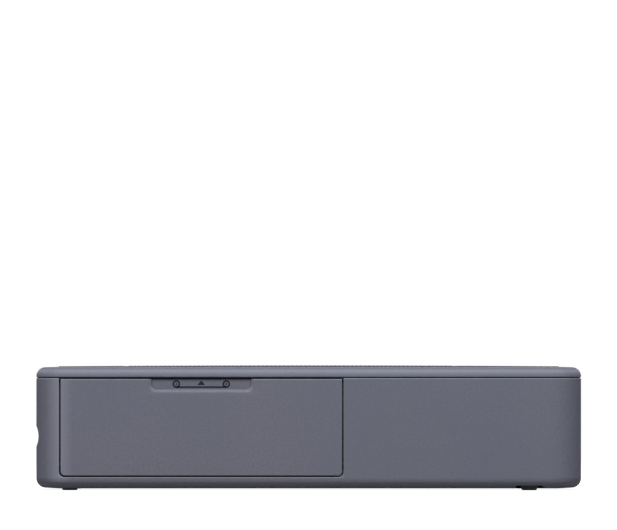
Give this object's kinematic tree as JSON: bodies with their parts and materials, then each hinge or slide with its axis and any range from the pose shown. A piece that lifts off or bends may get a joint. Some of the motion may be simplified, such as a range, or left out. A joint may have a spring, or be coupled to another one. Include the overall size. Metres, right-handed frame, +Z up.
{
  "type": "compact photo printer",
  "caption": "Slim slate-grey dye-transfer photo printer: case, textured cover, drop-down cassette and tray doors, ribbon cassette, rollers, gear train, swinging print head and fan.",
  "frame": {"origin": "on the table under the middle of the body, level with the undersides of the feet", "axes": "+X along the long side, away from the paper tray end; -Y out of the cassette door; +Z up"},
  "size_m": [0.275, 0.163, 0.0631],
  "materials": {
    "body_plastic": "fine-textured slate grey moulding",
    "cover_plastic": "slate grey moulding with raised dots on the panel",
    "button_plastic": "smooth slate grey",
    "foot_rubber": "matt",
    "roller_rubber": "ground matt",
    "pinch_steel": "ground",
    "plated_steel": "zinc plated sheet",
    "ground_steel": "ground bright",
    "screw_steel": "blackened",
    "spring_steel": "drawn wire",
    "motor_steel": "plated can",
    "bush_plastic": "self-lubricating black",
    "gear_plastic": "natural white",
    "pinion_brass": "hobbed",
    "guide_plastic": "smooth black",
    "cassette_plastic": "fine texture",
    "core_plastic": "smooth",
    "ribbon_film": "dyed film",
    "sink_aluminium": "extruded",
    "head_ceramic": "glazed",
    "circuit_board": "solder-masked",
    "socket_black": "smooth black",
    "socket_steel": "plated",
    "light_guide_clear": "clear",
    "fan_plastic": "satin black"
  },
  "bodies": {
    "case": {"lower_case": "body_plastic", "top_cover": "cover_plastic", "textured_inlay": "cover_plastic", "hinge_pins": "ground_steel", "rubber_feet": "foot_rubber", "case_screws": "screw_steel", "front_side_plate": "plated_steel", "rear_side_plate": "plated_steel", "entry_cross_bar": "plated_steel", "exit_cross_bar": "plated_steel", "chassis_screws": "screw_steel", "roller_bushes": "bush_plastic", "gear_studs": "ground_steel", "feed_ramp": "guide_plastic", "centre_guide": "guide_plastic", "lower_paper_guide": "guide_plastic", "upper_paper_guide": "guide_plastic", "feed_motor": "motor_steel", "cam_motor": "motor_steel", "cassette_shell": "cassette_plastic", "ribbon_web": "ribbon_film", "head_pivot": "ground_steel", "head_springs": "spring_steel", "main_board": "circuit_board", "dc_jack": "socket_black", "usb_port": "socket_steel", "button_board": "circuit_board", "light_guide": "light_guide_clear", "fan_frame": "fan_plastic"},
    "platen": {"platen_shaft": "ground_steel", "platen_rubber": "roller_rubber", "platen_gear": "gear_plastic"},
    "capstan": {"capstan_roller": "ground_steel", "capstan_gear": "gear_plastic"},
    "pinch": {"pinch_roller": "pinch_steel"},
    "pickup": {"pickup_shaft": "ground_steel", "pickup_tyres": "roller_rubber", "pickup_gear": "gear_plastic"},
    "takeup": {"takeup_gear": "gear_plastic", "takeup_spindle": "cassette_plastic", "takeup_core": "core_plastic", "takeup_ribbon": "ribbon_film"},
    "supply": {"supply_spindle": "cassette_plastic", "supply_core": "core_plastic", "supply_ribbon": "ribbon_film"},
    "takeup_idler": {"takeup_idler": "gear_plastic"},
    "capstan_idler": {"capstan_idler": "gear_plastic"},
    "feed_idler": {"feed_idler": "gear_plastic"},
    "pickup_idler": {"pickup_idler": "gear_plastic"},
    "feed_pinion": {"feed_pinion": "pinion_brass"},
    "cassette_door": {"cassette_door": "body_plastic"},
    "tray_door": {"tray_door": "body_plastic"},
    "power_button": {"power_button": "button_plastic"},
    "print_head": {"head_arm": "plated_steel", "heat_sink": "sink_aluminium", "thermal_head": "head_ceramic"},
    "cam": {"cam_shaft": "ground_steel", "cam_gear": "gear_plastic"},
    "cam_pinion": {"cam_pinion": "pinion_brass"},
    "fan": {"fan_rotor": "fan_plastic"}
  },
  "joints": [
    {"name": "platen_spin", "type": "hinge", "parent": "case", "child": "platen", "pos_m": [-0.045, 0, 0.018], "axis": [0, 1, 0], "continuous": true},
    {"name": "takeup_spin", "type": "hinge", "parent": "case", "child": "takeup", "pos_m": [-0.01, 0, 0.0398], "axis": [0, 1, 0], "continuous": true},
    {"name": "supply_spin", "type": "hinge", "parent": "case", "child": "supply", "pos_m": [-0.08, 0, 0.0398], "axis": [0, 1, 0], "continuous": true},
    {"name": "capstan_spin", "type": "hinge", "parent": "case", "child": "capstan", "pos_m": [0.014, 0, 0.02185], "axis": [0, 1, 0], "continuous": true},
    {"name": "pinch_spin", "type": "hinge", "parent": "case", "child": "pinch", "pos_m": [0.014, 0, 0.03015], "axis": [0, 1, 0], "continuous": true},
    {"name": "pickup_spin", "type": "hinge", "parent": "case", "child": "pickup", "pos_m": [-0.108, 0, 0.03], "axis": [0, 1, 0], "continuous": true},
    {"name": "takeup_idler_spin", "type": "hinge", "parent": "case", "child": "takeup_idler", "pos_m": [-0.02453, 0, 0.02605], "axis": [0, 1, 0], "continuous": true},
    {"name": "capstan_idler_spin", "type": "hinge", "parent": "case", "child": "capstan_idler", "pos_m": [0.00624, 0, 0.03302], "axis": [0, 1, 0], "continuous": true},
    {"name": "feed_idler_spin", "type": "hinge", "parent": "case", "child": "feed_idler", "pos_m": [-0.06509, 0, 0.0296], "axis": [0, 1, 0], "continuous": true},
    {"name": "pickup_idler_spin", "type": "hinge", "parent": "case", "child": "pickup_idler", "pos_m": [-0.08576, 0, 0.0273], "axis": [0, 1, 0], "continuous": true},
    {"name": "feed_pinion_spin", "type": "hinge", "parent": "case", "child": "feed_pinion", "pos_m": [-0.01501, 0, 0.01472], "axis": [0, 1, 0], "continuous": true},
    {"name": "cassette_door_hinge", "type": "hinge", "parent": "case", "child": "cassette_door", "pos_m": [-0.0541, -0.0788, 0.01298], "axis": [1, 0, 0], "range_deg": [0, 90]},
    {"name": "tray_door_hinge", "type": "hinge", "parent": "case", "child": "tray_door", "pos_m": [-0.1358, 0, 0.0096], "axis": [0, -1, 0], "range_deg": [0, 90]},
    {"name": "power_button_press", "type": "slide", "parent": "case", "child": "power_button", "axis": [1, 0, 0], "range_m": [0, 0.0005], "stiffness_N_per_m": 900, "springref_m": -0.0004},
    {"name": "cam_spin", "type": "hinge", "parent": "case", "child": "cam", "pos_m": [0.047, 0, 0.0409], "axis": [0, 1, 0], "range_deg": [0, 180]},
    {"name": "head_swing", "type": "hinge", "parent": "case", "child": "print_head", "pos_m": [0.012, 0, 0.046], "axis": [0, -1, 0], "range_deg": [0, 4.83], "deforming": ["ribbon_web"]},
    {"name": "cam_pinion_spin", "type": "hinge", "parent": "case", "child": "cam_pinion", "pos_m": [0.06279, 0, 0.04665], "axis": [0, 1, 0], "range_deg": [-451, 0]},
    {"name": "fan_spin", "type": "hinge", "parent": "case", "child": "fan", "pos_m": [0.096, 0, 0.0415], "axis": [0, 1, 0], "continuous": true}
  ],
  "couplings": [
    {"joint": "takeup_spin", "follows": "platen_spin", "ratio": 1.2},
    {"joint": "supply_spin", "follows": "platen_spin", "ratio": 0.96},
    {"joint": "capstan_spin", "follows": "platen_spin", "ratio": 2},
    {"joint": "pinch_spin", "follows": "platen_spin", "ratio": -2},
    {"joint": "pickup_spin", "follows": "platen_spin", "ratio": -0.9375},
    {"joint": "takeup_idler_spin", "follows": "platen_spin", "ratio": -1.2},
    {"joint": "capstan_idler_spin", "follows": "platen_spin", "ratio": -1.5789},
    {"joint": "feed_idler_spin", "follows": "platen_spin", "ratio": -1.0714},
    {"joint": "pickup_idler_spin", "follows": "platen_spin", "ratio": 1.25},
    {"joint": "feed_pinion_spin", "follows": "platen_spin", "ratio": 2.5},
    {"joint": "head_swing", "follows": "cam_spin", "ratio": 0.026837},
    {"joint": "cam_pinion_spin", "follows": "cam_spin", "ratio": -2.5}
  ]
}
